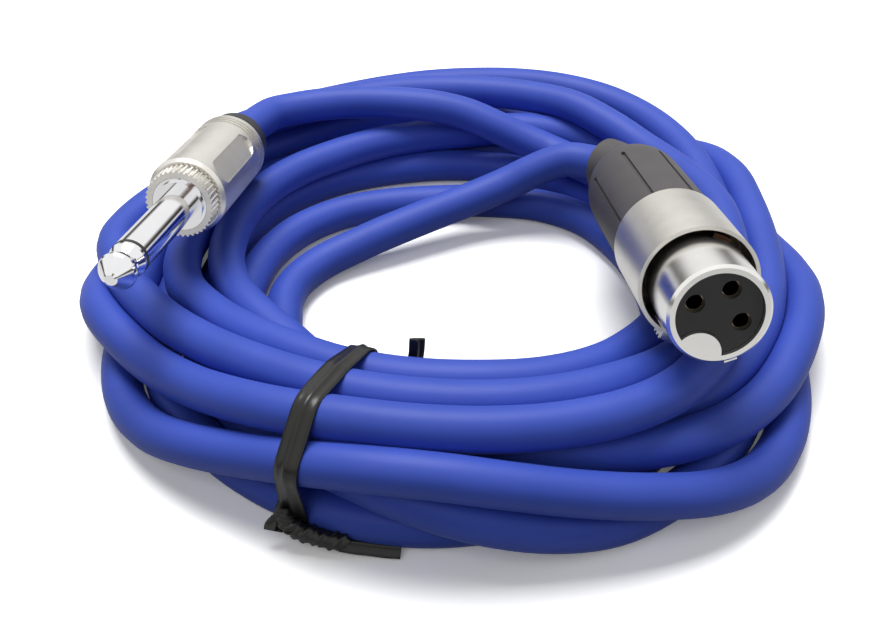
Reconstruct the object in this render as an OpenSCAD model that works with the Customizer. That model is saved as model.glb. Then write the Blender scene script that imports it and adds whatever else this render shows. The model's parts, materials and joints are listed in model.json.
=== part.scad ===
// Instrument cable, coiled and tied: a 6.35 mm two-pole jack plug at one end,
// a three-pin female XLR connector at the other. Millimetres, +Z up, resting on Z = 0.

/* [Cable] */
// Outer diameter of the jacketed cable
cable_d = 7.2; // [6.8:0.1:7.4]
// Least clear space between neighbouring loops of the coil
loop_gap = 0.45; // [0.42:0.01:0.7]
// Radius of the innermost loop, at the middle of the cable
coil_inner_r = 39.5; // [39:0.5:44]
// Loops in the coil, half of them in each layer
coil_loops = 8.5; // [5.5:1:10.5]
// Diameter of one insulated conductor
wire_d = 1.5; // [1:0.1:1.7]

/* [Jack plug] */
// Diameter of the plug's sleeve and tip
plug_d = 6.35; // [6.3:0.01:6.4]
// Length of the plug from its shoulder to the end of the tip
plug_len = 30.5; // [30:0.1:31]
// Length of the insulated tip contact
tip_len = 7.6; // [7:0.1:8.2]
// Diameter over the knurled collar
collar_d = 12.6; // [12.2:0.1:13.4]
// Length of the knurled collar
collar_len = 3.5; // [3:0.1:4.5]
// Teeth around the knurled collar
collar_teeth = 40; // [24:1:48]
// Diameter of the barrel
barrel_d = 14.5; // [14.3:0.1:15]
// Length of the barrel
barrel_len = 27.6; // [27:0.1:34]
// Depth of the grip recesses in the barrel
recess_depth = 0.5; // [0.2:0.1:0.6]
// Length of the black boot ring behind the barrel
boot_ring_len = 3.5; // [2:0.1:6]
// Diameter of the boot ring where it meets the barrel
boot_ring_d = 13.4; // [11.4:0.1:13.8]
// Travel of the barrel when it is unscrewed
barrel_travel = 5; // [2:0.5:5]

/* [XLR connector] */
// Diameter of the nose that enters the mating shell
nose_d = 16; // [15.8:0.1:16.2]
// Wall of the nose
nose_wall = 1.25; // [1:0.05:1.4]
// How far the nose stands out of the shell
nose_len = 11.3; // [10:0.1:12]
// Diameter of the shell
shell_d = 19.5; // [19.2:0.1:20.5]
// Length of the shell
shell_len = 18; // [17:0.5:24]
// Wall of the shell at its front rim
shell_wall = 0.65; // [0.5:0.05:0.8]
// Radius of the circle that the three contacts stand on
contact_circle_r = 4; // [3.8:0.05:4.1]
// Diameter of the pin that each contact takes
contact_bore_d = 2.54; // [2.4:0.02:2.6]
// Radius of the polarising key
key_r = 3.6; // [3.2:0.1:3.7]
// Length of the boot behind the shell
xlr_boot_len = 33; // [29:0.5:36]
// Grooves along the boot
boot_grooves = 8; // [4:1:12]
// Diameter of the flexible strain relief
relief_d = 11.4; // [11.2:0.1:11.8]
// Travel of the boot when it is unscrewed
boot_travel = 2; // [1:0.5:3]
// Swing of the latch when its button is pressed, in degrees
latch_swing = 4; // [2:0.5:4]

/* [Twist tie] */
// Width of the tie's strip
tie_w = 3.2; // [2.5:0.1:4]
// Thickness of the strip
tie_t = 0.5; // [0.4:0.05:0.6]

/* [Fits] */
// Radial clearance of parts that are fitted together and stay put
fit_gap = 0.05; // [0.03:0.01:0.08]
// Radial clearance of parts that turn or slide
running_gap = 0.06; // [0.04:0.01:0.1]
// Radial clearance around the cable in its clamps
cable_gap = 0.15; // [0.1:0.05:0.2]

/* [Hidden] */
$fn = 72;

cable_r = cable_d / 2;
cable_bore_r = cable_r + cable_gap;
wire_r = wire_d / 2;
wire_gap = 0.15;
braid_r = 0.6;
jacket_blue = [0.17, 0.22, 0.66];
nickel = [0.78, 0.77, 0.74];
chrome = [0.86, 0.86, 0.87];
black_plastic = [0.09, 0.09, 0.10];
dark_rubber = [0.27, 0.27, 0.28];
copper = [0.72, 0.45, 0.30];
white_plastic = [0.90, 0.90, 0.87];
red_plastic = [0.72, 0.12, 0.12];

// ---- Coil: the cable winds outward on the floor, climbs one layer in the half turn
// where the spiral reverses, and winds inward again on top ----
coil_x = -0.95;
coil_y = 0.95;
coil_start = 220;
floor_share = 0.4;
rings_per_loop = 24;
coil_sides = 6;
loop_pitch = cable_d + loop_gap;
coil_angle = 360 * coil_loops;
coil_floor_z = floor_share * cable_d;
coil_top = coil_floor_z + loop_pitch + cable_r;

function ease(t) = let (s = min(max(t, 0), 1)) s * s * (3 - 2 * s);
function coil_r(a) = coil_inner_r + loop_pitch * min(a, coil_angle - a) / 360;
function coil_z(a) = coil_floor_z + loop_pitch * ease((a - coil_angle / 2 + 90) / 180);
function coil_point(a) = [coil_x + coil_r(a) * cos(coil_start + a),
    coil_y + coil_r(a) * sin(coil_start + a), coil_z(a)];
// Heading of the coil, leaning out by some degrees; each end leans to the inside
function coil_ahead(a, lean) = [-sin(coil_start + a - lean), cos(coil_start + a - lean), 0];
end_lean = 10;
coil_steps = rings_per_loop * coil_loops;
coil_turns = [for (i = [0:coil_steps]) coil_point(360 * i / rings_per_loop)];
coil_from_ahead = coil_ahead(0, end_lean);
coil_to_ahead = coil_ahead(coil_angle, -end_lean);
coil_from = coil_point(0) - cable_d * coil_from_ahead;
coil_to = coil_point(coil_angle) + cable_d * coil_to_ahead;
coil_route = concat([coil_from], coil_turns, [coil_to]);

// Least clear space between points of the coil that are half a loop or more apart
far_apart = rings_per_loop / 2;
coil_least_gap = min([for (i = [0:coil_steps], j = [i + far_apart:coil_steps])
    norm(coil_turns[i] - coil_turns[j])]) - cable_d;
echo(str("cable_coil: least gap to itself ", coil_least_gap, " mm"));

// ---- Places of the two connectors, laid on the coil. Each is drawn along +Z; its local
// +X then points down and its local +Y to the right, seen from the front of the coil ----
jack_pos = [-52.95, -14.05, coil_top + 14];
jack_turn = -98;
jack_rise = 10.5;
xlr_pos = [35.05, -53.05, coil_top + 19.9];
xlr_turn = -86.5;
xlr_rise = 13;

module laid(pos, turn, rise) translate(pos) rotate([0, 90 - rise, turn]) children();
module at_jack() laid(jack_pos, jack_turn, jack_rise) children();
module at_xlr() laid(xlr_pos, xlr_turn, xlr_rise) children();

function laid_point(pos, turn, rise, p) = pos
    + p[0] * [sin(rise) * cos(turn), sin(rise) * sin(turn), -cos(rise)]
    + p[1] * [-sin(turn), cos(turn), 0]
    + p[2] * [cos(rise) * cos(turn), cos(rise) * sin(turn), sin(rise)];
function jack_point(p) = laid_point(jack_pos, jack_turn, jack_rise, p);
function xlr_point(p) = laid_point(xlr_pos, xlr_turn, xlr_rise, p);

// ---- Jack plug: shoulder at Z = 0, tip towards +Z ----
plug_r = plug_d / 2;
tip_back = plug_len - tip_len;
rod_r = 1.5;
rod_back = -13;
tube_r = 2.3;
insulator_t = 0.75;
sleeve_front = tip_back - insulator_t;
flange_r = 4.4;
flange_t = 0.7;
collar_front = -flange_t;
collar_back = collar_front - collar_len;
collar_gap = 0.2;
barrel_r = barrel_d / 2;
barrel_wall = 1.29;
thread_r = barrel_r - barrel_wall - running_gap;
collar_bore_r = thread_r - 0.9;
thread_back = -10;
washer_r = thread_r - 1.5;
washer_t = 0.8;
lug_t = 0.4;
lug_w = 3.6;
lug_back = -14.6;
lug_at = washer_r - lug_t;
barrel_front = collar_back - collar_gap;
barrel_back = barrel_front - barrel_len;
barrel_wall_back = 4;
barrel_hole_r = thread_r - 0.8;
barrel_edge = 2;
barrel_grip_turn = 35;
recess_w = 4.8;
recess_from = barrel_back + 9.2;
recess_to = barrel_front - 4;
groove_depth = 0.3;
liner_front = thread_back - 0.4;
liner_back = barrel_back + barrel_wall_back + 1.5;
liner_wall = 0.5;
jack_jacket_end = -17;
jack_chuck_r = thread_r - liner_wall - 0.4;
jack_chuck_back = barrel_back + barrel_wall_back + 1;

// ---- XLR connector: face of the nose at Z = 0, cable towards -Z ----
nose_r = nose_d / 2;
nose_bore_r = nose_r - nose_wall;
nose_back = -nose_len - 14;
nose_edge = 0.45;
nose_step = 0.25;
nose_tail_r = nose_r - nose_step;
shell_r = shell_d / 2;
shell_bore_r = shell_r - shell_wall;
shell_front = -nose_len;
shell_back = shell_front - shell_len;
web_front = shell_front - 8;
web_t = 2;
insert_face = -0.9;
insert_back = -16;
key_turn = -24;
key_at = 7;
key_len = 12;
contact_r = 1.75;
contact_front = -1.7;
contact_bore_back = -14;
bore_mouth_r = contact_bore_d / 2 + 0.2;
cup_back = -22;
cup_depth = 4;
slot_w = 3.4;
slot_front = -6.2;
slot_floor_r = nose_bore_r - 1.35;
lever_at = 7;
lever_w = 2.8;
lever_t = 0.8;
pivot_z = nose_back + 1.8;
pivot_r = 1.1;
pin_r = 0.5;
pin_len = 5;
hook_z = -9;
hook_len = 2;
hook_rise = 0.7;
button_len = 4;
button_h = 3.5;
spring_t = 0.25;
spring_w = 2;
spring_back_z = pivot_z + pivot_r + 0.4;
spring_bend_z = pivot_z + 6.4;
spring_toe_z = pivot_z + 3.2;
spring_seat_at = 4.4;
spring_toe_at = spring_seat_at + 0.3;
boot_thread_r = 8.35;
boot_thread_front = nose_back - 0.3;
boot_bore_r = 7.1;
boot_r = shell_r - 0.45;
boot_gap = 0.1;
boot_back = shell_back - xlr_boot_len;
dome_len = 9;
relief_r = relief_d / 2;
relief_bore_r = cable_bore_r + 0.15;
relief_hole_r = relief_r + 0.4;
relief_front = boot_back + 13;
relief_straight = boot_travel + 0.5;
relief_from = boot_back - relief_straight;
relief_bend_r = 1.9 * cable_d;
relief_bend = 36;
gland_front = boot_back + 11.5;
gland_back = boot_back + 7;
xlr_jacket_end = shell_back - 2.7;
xlr_chuck_front = xlr_jacket_end + 1;
xlr_chuck_back = boot_back + 15;
xlr_chuck_r = boot_bore_r - 0.4;
function contact_at(i) = contact_circle_r * [cos(key_turn + 90 * i), sin(key_turn + 90 * i)];

// ---- Free ends of the cable, from the coil to the two connectors ----
lead_sides = 8;
jack_straight = barrel_travel + boot_ring_len + 1;
jack_lead_points = [[20.15, 33.95, 10.9], [15.65, 36.45, 11.8], [10.65, 38.25, 13.3], [5.45, 39.75, 15.2],
    [-0.25, 41.35, 17], [-6.65, 42.35, 18.2], [-13.25, 43.15, 18.6], [-20.05, 43.65, 18.7],
    [-26.85, 43.55, 18.7], [-33.25, 42.45, 18.7], [-38.85, 40.05, 18.9], [-43.25, 36.35, 19.3]];
jack_lead_route = concat([for (s = [fit_gap, 2]) coil_to + s * coil_to_ahead], jack_lead_points,
    [jack_point([0, 0, barrel_back - jack_straight]), jack_point([0, 0, jack_jacket_end])]);
function bend_point(a) = xlr_point([0, -relief_bend_r * (1 - cos(a)),
    relief_from - relief_bend_r * sin(a)]);
lead_bend = 72;
xlr_lead_points = [[17.1, 22.5, 15.1], [13, 22.3, 13.2], [9.6, 21.9, 11.5], [5.95, 21.05, 10.1],
    [-0.05, 18.95, 8.5], [-6.05, 16.1, 7.6], [-12.05, 13, 6.8], [-18.05, 9.9, 5.9], [-23.85, 6.95, 4.7],
    [-29.6, 3.4, 3.9], [-34.4, -0.4, coil_floor_z + 0.72],
    [-37.15, -5.45, coil_floor_z + 0.6], [-37.55, -10.65, coil_floor_z + 0.4], [-36.15, -15.85, coil_floor_z + 0.2]];
xlr_lead_route = concat([xlr_point([0, 0, xlr_jacket_end]),
    xlr_point([0, 0, (xlr_jacket_end + relief_from) / 2])],
    [for (a = [0:18:lead_bend]) bend_point(a)], xlr_lead_points,
    [for (s = [2, fit_gap]) coil_from - s * coil_from_ahead]);

// ---- Twist tie: a loop round all the coil's strands in one radial plane, its ends
// twisted outside the coil, and the free end of its strip upright inside it ----
tie_angle = 243.5;
tie_tab_angle = 254.5;
tie_tab_h = 13;
tie_play = 0.3;
tie_corner_r = 2.2;
tie_groove_h = tie_t + 0.1;
tie_groove_w = tie_w + 0.4;
knot_len = 12;
knot_r = 1.5;
knot_t = 1.6;
knot_twist = 35;
knot_steps = 8;
tail_len = 9;
tail_turn = 20;
tie_strands = [for (a = [tie_angle - coil_start:360:coil_angle]) coil_r(a)];
tie_inner_r = min(tie_strands) - cable_r - tie_play;
tie_outer_r = max(tie_strands) + cable_r + tie_play;
function coil_polar(r, angle) = [coil_x + r * cos(angle), coil_y + r * sin(angle)];
tie_knot_at = coil_polar(tie_outer_r + tie_t, tie_angle);
tie_tab_at = coil_polar(tie_inner_r, tie_tab_angle);
tie_under = tie_tab_at - tie_knot_at;

// ---- Swept tubes ----
function unit(v) = v / norm(v);
function heading(route, i) = unit(route[min(i + 1, len(route) - 1)] - route[max(i - 1, 0)]);
// One ring of a tube, square to the route, with its lowest corners held on the floor
function ring(centre, ahead, r, sides) = let (
        across = unit(cross(ahead, [0, 0, 1])),
        over = cross(across, ahead),
        half_step = sides % 4 == 0 ? 0.5 : 0)
    [for (k = [0:sides - 1]) let (
            a = 360 * (k + half_step) / sides,
            p = centre + r * (cos(a) * across + sin(a) * over))
        [p[0], p[1], max(p[2], 0)]];
module tube(route, r, sides) {
    last = len(route) - 1;
    points = [for (i = [0:last]) each ring(route[i], heading(route, i), r, sides)];
    walls = [for (i = [0:last - 1], k = [0:sides - 1]) let (
            a = i * sides + k,
            b = i * sides + (k + 1) % sides)
        each [[a, b, a + sides], [b, b + sides, a + sides]]];
    caps = [for (k = [1:sides - 2]) each [[0, k + 1, k],
            [last * sides, last * sides + k, last * sides + k + 1]]];
    polyhedron(points = points, faces = concat(walls, caps));
}

// ---- Cable and tie ----
module cable_coil() color(jacket_blue) difference() {
    tube(coil_route, cable_r, coil_sides);
    at_tie() translate([tie_inner_r - 2, -tie_groove_w / 2, -1])
        cube([tie_outer_r - tie_inner_r + 4, tie_groove_w, 1 + tie_groove_h]);
    translate([0, 0, -1]) tie_floor_run(tie_groove_w, 1 + tie_groove_h, 2);
}
module cable_jack_lead() color(jacket_blue) tube(jack_lead_route, cable_r, lead_sides);
module cable_xlr_lead() color(jacket_blue) tube(xlr_lead_route, cable_r, lead_sides);

module at_tie() translate([coil_x, coil_y, 0]) rotate([0, 0, tie_angle]) children();
// The strip along the floor, from the knot to the upright tab inside the coil
module tie_floor_run(w, h, extra) translate([tie_knot_at[0], tie_knot_at[1], 0])
    rotate([0, 0, atan2(tie_under[1], tie_under[0])])
        translate([-extra, -w / 2, 0]) cube([norm(tie_under) + 2 * extra, w, h]);
// The loop in its radial plane, out along X and up along Y
module tie_outline(grow) {
    x0 = tie_inner_r - grow;
    x1 = tie_outer_r + grow;
    y0 = tie_t - grow;
    y1 = coil_top + tie_play + grow;
    corner = tie_corner_r + grow;
    translate([x0 + corner, y0]) square([x1 - x0 - 2 * corner, y1 - y0]);
    translate([x0, y0 + corner]) square([x1 - x0, y1 - y0 - 2 * corner]);
    for (x = [x0 + corner, x1 - corner], y = [y0 + corner, y1 - corner])
        translate([x, y]) circle(corner);
}
module twist_tie() color(black_plastic) {
    at_tie() rotate([90, 0, 0]) translate([0, 0, -tie_w / 2]) linear_extrude(tie_w)
        difference() {
            tie_outline(tie_t);
            tie_outline(0);
        }
    tie_floor_run(tie_w, tie_t, tie_t);
    translate([tie_tab_at[0], tie_tab_at[1], 0]) rotate([0, 0, tie_tab_angle])
        translate([-tie_t, -tie_w / 2, 0]) cube([tie_t, tie_w, tie_tab_h]);
    at_tie() translate([tie_outer_r + knot_r, -tie_w / 2, knot_r]) {
        for (i = [0:knot_steps - 1]) translate([0, (i + 0.5) * knot_len / knot_steps, 0])
            rotate([0, knot_twist * i, 0])
                cube([2 * knot_r, knot_len / knot_steps + 0.1, knot_t], center = true);
        translate([0, knot_len - 1, -knot_r]) rotate([0, 0, tail_turn]) cube([tie_t, tail_len, tie_w]);
    }
}

// ---- Shared shapes ----
module round_bar(from, to, r) translate([0, 0, from]) cylinder(r = r, h = to - from);
module sleeve(from, to, outer_r, inner_r) difference() {
    round_bar(from, to, outer_r);
    round_bar(from - 1, to + 1, inner_r);
}
// A clamp of four jaws: a solid ring in front, and slots that are open behind
module jaws(from, to, outer_r, slot_from) difference() {
    sleeve(from, to, outer_r, cable_bore_r);
    for (turn = [0, 90]) rotate([0, 0, turn])
        translate([-outer_r - 1, -0.5, from - 1]) cube([2 * outer_r + 2, 1, slot_from - from + 1]);
}

// ---- Jack plug ----
module jack_tip() color(chrome) at_jack() rotate_extrude() polygon([
    [0, rod_back], [rod_r, rod_back], [rod_r, tip_back], [plug_r - 0.05, tip_back],
    [plug_r - 0.05, tip_back + 0.7], [2.45, tip_back + 2.1], [2.4, tip_back + 2.5],
    [2.75, tip_back + 3.1], [3.05, tip_back + 3.7], [plug_r, tip_back + 4.3],
    [plug_r, tip_back + 4.7], [3.0, tip_back + 5.1], [1.15, plug_len - 0.25],
    [0.75, plug_len], [0, plug_len]]);
module jack_tip_insulator() color(black_plastic) at_jack() {
    sleeve(sleeve_front + fit_gap, tip_back - fit_gap, plug_r, rod_r + fit_gap);
    sleeve(thread_back, sleeve_front + 2 * fit_gap, tube_r, rod_r + fit_gap);
}
module jack_sleeve() color(chrome) at_jack() difference() {
    union() {
        round_bar(-1, sleeve_front, plug_r);
        round_bar(collar_front, 0, flange_r);
        round_bar(collar_back, collar_front, collar_bore_r - fit_gap);
        round_bar(thread_back, collar_back, thread_r);
    }
    round_bar(thread_back - 1, plug_len, tube_r + fit_gap);
}
// A ring of flat-topped teeth, drawn as alternate crests and roots
module knurl(r, depth, teeth) polygon([for (i = [0:4 * teeth - 1]) let (
        a = 90 * i / teeth,
        tooth_r = i % 4 < 2 ? r : r - depth)
    tooth_r * [cos(a), sin(a)]]);
module jack_collar() color(nickel) at_jack() difference() {
    translate([0, 0, collar_back]) linear_extrude(collar_len)
        knurl(collar_d / 2, 0.35, collar_teeth);
    round_bar(collar_back - 1, collar_front + 1, collar_bore_r);
}
module jack_rear_washer() color(white_plastic) at_jack()
    sleeve(thread_back - washer_t, thread_back - fit_gap, washer_r, rod_r + fit_gap);
module jack_ground_lug() color(nickel) at_jack() {
    sleeve(thread_back - washer_t - fit_gap - lug_t, thread_back - washer_t - fit_gap,
        washer_r, rod_r + 0.6);
    translate([-lug_at - lug_t, -lug_w / 2, lug_back])
        cube([lug_t, lug_w, thread_back - washer_t - fit_gap - lug_back]);
}
module jack_chuck() color(nickel) at_jack()
    jaws(jack_chuck_back, jack_jacket_end + 0.5, jack_chuck_r, jack_jacket_end - 3);
module jack_liner() color(white_plastic) at_jack()
    sleeve(liner_back, liner_front, thread_r - running_gap, thread_r - liner_wall);
// A recess with round ends in the barrel's side, along its length
module grip_recess() translate([barrel_r - recess_depth, 0, 0]) rotate([0, 90, 0])
    linear_extrude(3) polygon([for (a = [0:20:340]) [
        (a < 180 ? -recess_from : -recess_to) + recess_w / 2 * cos(a - 90 + (a < 180 ? 0 : 10)),
        recess_w / 2 * sin(a - 90 + (a < 180 ? 0 : 10))]]);
module jack_barrel() color(nickel) at_jack() difference() {
    rotate_extrude() polygon(concat(
        [[0, barrel_back], [barrel_r - barrel_edge, barrel_back]],
        [for (a = [-75:15:0]) [barrel_r - barrel_edge + barrel_edge * cos(a),
            barrel_back + barrel_edge + barrel_edge * sin(a)]],
        [[barrel_r, barrel_front - 0.6], [barrel_r - 0.6, barrel_front], [0, barrel_front]]));
    round_bar(barrel_back + barrel_wall_back, barrel_front + 1, thread_r + running_gap);
    round_bar(barrel_back - 1, barrel_front, barrel_hole_r);
    for (i = [0:2]) translate([0, 0, barrel_back + 3 + 1.1 * i])
        sleeve(0, 0.5, barrel_r + 1, barrel_r - groove_depth);
    for (turn = [0:90:270]) rotate([0, 0, turn + barrel_grip_turn]) grip_recess();
}
module jack_boot_ring() color(black_plastic) at_jack() difference() {
    union() {
        round_bar(barrel_back - 0.1, barrel_back + barrel_wall_back - 0.2, barrel_hole_r - fit_gap);
        translate([0, 0, barrel_back - boot_ring_len])
            cylinder(d1 = boot_ring_d - 1, d2 = boot_ring_d, h = boot_ring_len - 0.05);
    }
    round_bar(barrel_back - boot_ring_len - 1, barrel_front, relief_bore_r);
}
module jack_hot_wire() color(white_plastic) tube([
    for (p = [[0, 1.5, jack_jacket_end + wire_gap], [0, 1.3, rod_back - 2.4], [0, 0.1, rod_back - 1.2],
        [0, 0, rod_back - wire_gap]]) jack_point(p)], wire_r, lead_sides);
module jack_cold_wire() color(red_plastic) tube([
    for (p = [[-1.5, -1.3, jack_jacket_end + 2 * wire_gap], [-2.2, -1.2, lug_back - 0.6],
        [0.9 - lug_at, -1, lug_back + 1], [0.9 - lug_at, -1, lug_back + 2.6]]) jack_point(p)], wire_r, lead_sides);
module jack_shield_pigtail() color(copper) tube([
    for (p = [[-2.2, 1.1, jack_jacket_end + 2 * wire_gap], [1.3 - lug_at, 1.1, lug_back - 0.6],
        [0.7 - lug_at, 1.1, lug_back + 1], [0.7 - lug_at, 1.1, lug_back + 2.6]]) jack_point(p)], braid_r, lead_sides);

// ---- XLR connector ----
module at_key() rotate([0, 0, key_turn]) children();
module xlr_nose() color(nickel) at_xlr() difference() {
    union() {
        sleeve(shell_front, -nose_edge, nose_r, nose_bore_r);
        sleeve(nose_back, shell_front + 0.1, nose_tail_r, nose_bore_r);
        difference() {
            translate([0, 0, -nose_edge]) cylinder(r1 = nose_r, r2 = nose_r - nose_edge, h = nose_edge);
            round_bar(-1, 1, nose_bore_r);
        }
        intersection() {
            at_key() translate([key_at, 0, 0]) round_bar(-key_len, 0, key_r);
            round_bar(-key_len, 0, nose_bore_r + 0.3);
        }
        at_key() rotate([0, 0, 42]) translate([nose_r - 0.4, -1, -2.6]) cube([1, 2, 1.6]);
    }
    at_key() translate([slot_floor_r, -slot_w / 2, nose_back - 1])
        cube([5, slot_w, slot_front - nose_back + 1]);
    at_key() translate([lever_at, pin_len / 2, pivot_z]) rotate([90, 0, 0])
        cylinder(r = pin_r + fit_gap, h = pin_len, $fn = 32);
}
module xlr_insert() color(black_plastic) at_xlr() {
    difference() {
        round_bar(insert_back, insert_face, nose_bore_r - fit_gap);
        at_key() translate([key_at, 0, 0]) round_bar(insert_back - 1, 1, key_r + fit_gap);
        for (i = [1:3]) translate(contact_at(i)) {
            round_bar(insert_back - 1, contact_front + fit_gap, contact_r + fit_gap);
            round_bar(contact_front, 0, bore_mouth_r);
        }
    }
    at_key() translate([spring_seat_at - 1.6, -1.1, spring_toe_z - 0.8])
        cube([1.6, 2.2, insert_back - spring_toe_z + 1.6]);
}
module xlr_socket(i) color(copper) at_xlr() translate(contact_at(i)) difference() {
    round_bar(cup_back, contact_front, contact_r);
    round_bar(contact_bore_back, 0, contact_bore_d / 2);
    round_bar(cup_back - 1, cup_back + cup_depth, contact_r - 0.5);
    rotate([0, 0, key_turn + 90 * i]) translate([0, -3, cup_back - 1]) cube([3, 6, cup_depth + 0.5]);
}
module xlr_socket_1() xlr_socket(1);
module xlr_socket_2() xlr_socket(2);
module xlr_socket_3() xlr_socket(3);
module xlr_shell() color(nickel) at_xlr() difference() {
    union() {
        sleeve(shell_back, shell_front, shell_r, shell_bore_r);
        sleeve(web_front - web_t, web_front, shell_bore_r + 0.2, nose_tail_r + fit_gap);
        sleeve(shell_back, web_front - web_t, shell_bore_r + 0.2, boot_thread_r + running_gap);
    }
    at_key() translate([nose_r - 1, -slot_w / 2 - 0.3, shell_front - button_len - 0.8])
        cube([6, slot_w + 0.6, button_len + 2]);
    at_key() translate([nose_r - 2, -slot_w / 2 - 0.2, nose_back - 1])
        cube([2.9, slot_w + 0.4, web_front + 2 - nose_back]);
}
module xlr_ground_contact() color(copper) at_xlr() rotate([0, 0, key_turn + 180]) intersection() {
    sleeve(web_front + 0.2, shell_front - 1, nose_r + 0.35, nose_tail_r + fit_gap);
    translate([0, -1.5, web_front]) cube([12, 3, 9]);
}
module xlr_latch() color(chrome) at_xlr() at_key() difference() {
    union() {
        translate([lever_at, -lever_w / 2, pivot_z]) cube([lever_t, lever_w, hook_z + hook_len - pivot_z]);
        translate([lever_at, lever_w / 2, pivot_z]) rotate([90, 0, 0]) cylinder(r = pivot_r, h = lever_w);
        translate([lever_at, -lever_w / 2, hook_z])
            cube([nose_r - lever_at + hook_rise, lever_w, hook_len]);
        translate([lever_at, -lever_w / 2, shell_front - button_len])
            cube([button_h, lever_w, button_len]);
        for (i = [0:2]) translate([lever_at, -lever_w / 2, shell_front - button_len + 0.4 + 1.3 * i])
            cube([button_h + 0.35, lever_w, 0.6]);
    }
    translate([lever_at, lever_w, pivot_z]) rotate([90, 0, 0])
        cylinder(r = pin_r + running_gap, h = 2 * lever_w, $fn = 32);
}
module xlr_latch_pin() color(chrome) at_xlr() at_key() translate([lever_at, pin_len / 2, pivot_z])
    rotate([90, 0, 0]) cylinder(r = pin_r, h = pin_len, $fn = 32);
// A leaf folded under the lever, its toe just clear of its seat on the insert
module xlr_latch_spring() color(chrome) at_xlr() at_key()
    rotate([90, 0, 0]) linear_extrude(spring_w, center = true) polygon([
        [lever_at, spring_back_z], [lever_at, spring_bend_z], [lever_at - 0.7, spring_bend_z],
        [spring_toe_at, spring_toe_z], [spring_toe_at + 0.35, spring_toe_z],
        [lever_at - 0.5, spring_bend_z - spring_t], [lever_at - spring_t, spring_bend_z - spring_t],
        [lever_at - spring_t, spring_back_z]]);
module xlr_chuck() color(black_plastic) at_xlr() difference() {
    jaws(xlr_chuck_back, xlr_chuck_front, xlr_chuck_r, xlr_jacket_end - 3);
    for (z = [-6, -4]) sleeve(xlr_chuck_front + z, xlr_chuck_front + z + 0.8,
        boot_bore_r, xlr_chuck_r - 0.6);
}
module xlr_gland() color(dark_rubber) at_xlr()
    sleeve(gland_back + 0.05, gland_front, boot_bore_r - running_gap, relief_r + running_gap);
module xlr_boot() color(dark_rubber) at_xlr() difference() {
    union() {
        rotate_extrude() polygon(concat([[0, boot_back]],
            [for (a = [0:15:90]) [relief_hole_r + 0.5 + (boot_r - 0.5 - relief_hole_r) * sin(a),
                boot_back + dome_len * (1 - cos(a))]],
            [[boot_r, shell_back - boot_gap], [0, shell_back - boot_gap]]));
        round_bar(shell_back - 1, boot_thread_front, boot_thread_r);
    }
    round_bar(gland_back, boot_thread_front + 1, boot_bore_r);
    round_bar(boot_back - 1, gland_back + 1, relief_hole_r);
    for (i = [0:boot_grooves - 1]) rotate([0, 0, 360 * (i + 0.5) / boot_grooves])
        translate([boot_r - 0.55, -0.35, boot_back + dome_len - 1])
            cube([2, 0.7, xlr_boot_len - dome_len]);
}
module xlr_strain_relief() color(dark_rubber) at_xlr() {
    sleeve(relief_from, relief_front, relief_r, relief_bore_r);
    translate([0, -relief_bend_r, relief_from]) rotate([0, -90, 0]) rotate([0, 0, 90])
        rotate_extrude(angle = relief_bend) translate([relief_bend_r, 0]) difference() {
            circle(relief_r);
            circle(relief_bore_r);
        }
}
// A wire from the end of the jacket to the solder cup of one contact
module xlr_wire(i, r) tube([
    for (p = [[0.45, xlr_jacket_end + 0.1], [0.5, xlr_jacket_end + 3], [0.95, cup_back - 3],
        [1, cup_back - 0.05]])
    xlr_point([p[0] * contact_at(i)[0], p[0] * contact_at(i)[1], p[1]])], r, lead_sides);
module xlr_hot_wire() color(white_plastic) xlr_wire(3, wire_r);
module xlr_cold_wire() color(red_plastic) xlr_wire(2, wire_r);
module xlr_shield_pigtail() color(copper) xlr_wire(1, braid_r);

cable_coil();
cable_jack_lead();
cable_xlr_lead();
twist_tie();
jack_tip();
jack_tip_insulator();
jack_sleeve();
jack_collar();
jack_rear_washer();
jack_ground_lug();
jack_chuck();
jack_liner();
jack_barrel();
jack_boot_ring();
jack_hot_wire();
jack_cold_wire();
jack_shield_pigtail();
xlr_nose();
xlr_insert();
xlr_socket_1();
xlr_socket_2();
xlr_socket_3();
xlr_shell();
xlr_ground_contact();
xlr_latch();
xlr_latch_pin();
xlr_latch_spring();
xlr_chuck();
xlr_gland();
xlr_boot();
xlr_strain_relief();
xlr_hot_wire();
xlr_cold_wire();
xlr_shield_pigtail();
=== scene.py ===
import bpy, json, math
from mathutils import Matrix, Vector, noise


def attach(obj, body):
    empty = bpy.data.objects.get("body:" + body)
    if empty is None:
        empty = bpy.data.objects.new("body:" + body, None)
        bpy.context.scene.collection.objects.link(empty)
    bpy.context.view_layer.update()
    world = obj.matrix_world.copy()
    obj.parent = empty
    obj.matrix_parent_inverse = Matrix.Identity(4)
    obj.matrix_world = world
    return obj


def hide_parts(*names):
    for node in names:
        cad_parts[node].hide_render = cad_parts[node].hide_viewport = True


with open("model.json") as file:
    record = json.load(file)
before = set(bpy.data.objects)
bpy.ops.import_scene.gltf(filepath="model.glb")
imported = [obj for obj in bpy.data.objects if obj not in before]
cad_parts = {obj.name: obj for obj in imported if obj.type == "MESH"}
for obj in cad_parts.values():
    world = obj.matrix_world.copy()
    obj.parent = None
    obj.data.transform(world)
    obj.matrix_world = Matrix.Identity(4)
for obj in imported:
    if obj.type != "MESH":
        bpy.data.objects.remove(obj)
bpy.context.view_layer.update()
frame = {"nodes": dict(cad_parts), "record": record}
nodes = frame["nodes"]
mm = 0.001
print("stage: frame loaded,", len(nodes), "nodes")


# camera: place in millimetres, tilt in degrees
camera = dict(place=(-6.55, -180.08, 134.46), tilt=51.9, lens=45.205, sensor=36)


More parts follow.
